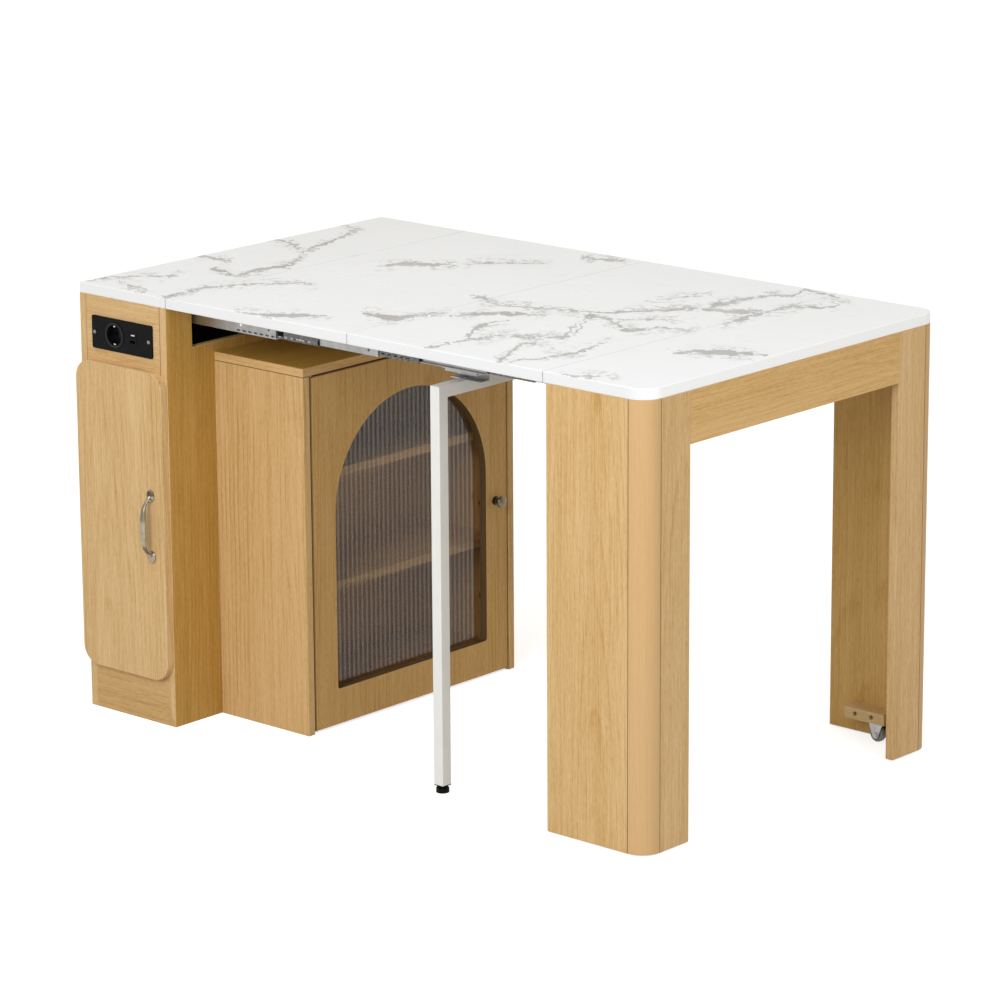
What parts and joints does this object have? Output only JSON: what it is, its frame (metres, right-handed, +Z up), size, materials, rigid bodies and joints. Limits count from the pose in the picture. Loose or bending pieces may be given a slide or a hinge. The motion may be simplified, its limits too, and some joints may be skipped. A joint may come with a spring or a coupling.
{
  "type": "extending kitchen island",
  "caption": "Kitchen island that pulls out into a table: fixed tower with a socket, low cabinet with an arched glass door, telescoping slides, support leg, loose leaves and rolling end frame.",
  "frame": {"origin": "on the floor, in the middle of the whole outline with the island pulled out", "axes": "+X along the extension, from the fixed tower to the rolling end frame; +Y from the long side with the socket to the opposite long side; +Z up"},
  "size_m": [1.5062, 0.947, 0.9],
  "materials": {
    "oak_laminate": "satin oak laminate",
    "batten_wood": "planed timber",
    "marble": "satin white marble laminate on board",
    "black_hardboard": "matt black",
    "black_plastic": "satin",
    "clear_plastic": "clear",
    "nickel": "nickel plated",
    "aged_nickel": "aged nickel",
    "dark_bronze": "dark bronze",
    "smoked_glass": "fluted, bronze tint",
    "zinc": "zinc plated",
    "white_steel": "white powder coat",
    "grey_nylon": "grey nylon"
  },
  "bodies": {
    "fixed_base": {"tower_left_panel": "oak_laminate", "tower_right_panel": "oak_laminate", "tower_far_panel": "oak_laminate", "tower_socket_panel": "oak_laminate", "tower_plinth": "oak_laminate", "tower_floor_board": "oak_laminate", "tower_bay_board": "oak_laminate", "tower_partition": "oak_laminate", "tower_shelves": "oak_laminate", "bay_liner": "black_hardboard", "fixed_slide_battens": "batten_wood", "fixed_top": "marble", "socket_faceplate": "black_plastic", "socket_insert": "black_plastic", "earth_clips": "nickel", "usb_module": "black_plastic", "socket_back_box": "black_plastic", "socket_screws": "nickel", "tower_hinge_fixed_leaves": "nickel", "cabinet_side_panels": "oak_laminate", "cabinet_top_panel": "oak_laminate", "cabinet_floor_board": "oak_laminate", "cabinet_back_panel": "oak_laminate", "cabinet_shelves": "oak_laminate", "shelf_pins": "nickel", "cabinet_door_pivots": "nickel", "slide_fixed_channels": "zinc"},
    "tower_door": {"tower_door": "oak_laminate", "door_handle": "aged_nickel", "tower_hinge_door_leaves": "nickel"},
    "cabinet_door": {"cabinet_door_frame": "oak_laminate", "fluted_glass": "smoked_glass", "glass_clips": "clear_plastic", "door_knob": "dark_bronze"},
    "first_stage": {"slide_first_cages": "zinc", "slide_first_channels": "zinc"},
    "centre_stage": {"slide_centre_cages": "zinc", "slide_centre_channels": "zinc", "slide_rear_outer_channels": "zinc", "slide_brackets": "zinc", "support_post": "white_steel", "support_arm": "white_steel", "support_glide": "black_plastic"},
    "rear_stage": {"slide_rear_cages": "zinc", "slide_rear_channels": "zinc"},
    "end_frame": {"slide_end_cages": "zinc", "slide_end_channels": "zinc", "end_slide_battens": "batten_wood", "end_top": "marble", "leg_side_panels": "oak_laminate", "leg_corner_posts": "oak_laminate", "leg_return_panels": "oak_laminate", "apron": "oak_laminate", "caster_blocks": "batten_wood", "caster_forks": "zinc", "caster_axles": "zinc"},
    "second_leaf": {"second_leaf": "marble"},
    "third_leaf": {"third_leaf": "marble"},
    "near_wheel": {"near_caster_wheel": "grey_nylon"},
    "far_wheel": {"far_caster_wheel": "grey_nylon"}
  },
  "joints": [
    {"name": "table_slide", "type": "slide", "parent": "fixed_base", "child": "end_frame", "axis": [1, 0, 0], "range_m": [-1, 0]},
    {"name": "first_stage_slide", "type": "slide", "parent": "fixed_base", "child": "first_stage", "axis": [1, 0, 0], "range_m": [-0.275, 0]},
    {"name": "centre_stage_slide", "type": "slide", "parent": "fixed_base", "child": "centre_stage", "axis": [1, 0, 0], "range_m": [-0.55, 0]},
    {"name": "rear_stage_slide", "type": "slide", "parent": "fixed_base", "child": "rear_stage", "axis": [1, 0, 0], "range_m": [-0.775, 0]},
    {"name": "second_leaf_lift", "type": "slide", "parent": "fixed_base", "child": "second_leaf", "axis": [0, 0, 1], "range_m": [0, 0.4]},
    {"name": "third_leaf_lift", "type": "slide", "parent": "fixed_base", "child": "third_leaf", "axis": [0, 0, 1], "range_m": [0, 0.4]},
    {"name": "tower_door_hinge", "type": "hinge", "parent": "fixed_base", "child": "tower_door", "pos_m": [-0.75015, -0.4265, 0.4215], "axis": [0, 0, -1], "range_deg": [0, 110]},
    {"name": "cabinet_door_pivot", "type": "hinge", "parent": "fixed_base", "child": "cabinet_door", "pos_m": [-0.25185, -0.267, 0.38], "axis": [0, 0, -1], "range_deg": [0, 90]},
    {"name": "near_wheel_roll", "type": "hinge", "parent": "end_frame", "child": "near_wheel", "pos_m": [0.68615, -0.3885, 0.016], "axis": [0, 1, 0], "continuous": true},
    {"name": "far_wheel_roll", "type": "hinge", "parent": "end_frame", "child": "far_wheel", "pos_m": [0.65015, 0.4355, 0.016], "axis": [0, 1, 0], "continuous": true}
  ],
  "couplings": [
    {"joint": "first_stage_slide", "follows": "table_slide", "ratio": 0.275},
    {"joint": "centre_stage_slide", "follows": "table_slide", "ratio": 0.55},
    {"joint": "rear_stage_slide", "follows": "table_slide", "ratio": 0.775},
    {"joint": "second_leaf_lift", "follows": "table_slide", "ratio": -0.4},
    {"joint": "third_leaf_lift", "follows": "table_slide", "ratio": -0.4}
  ]
}
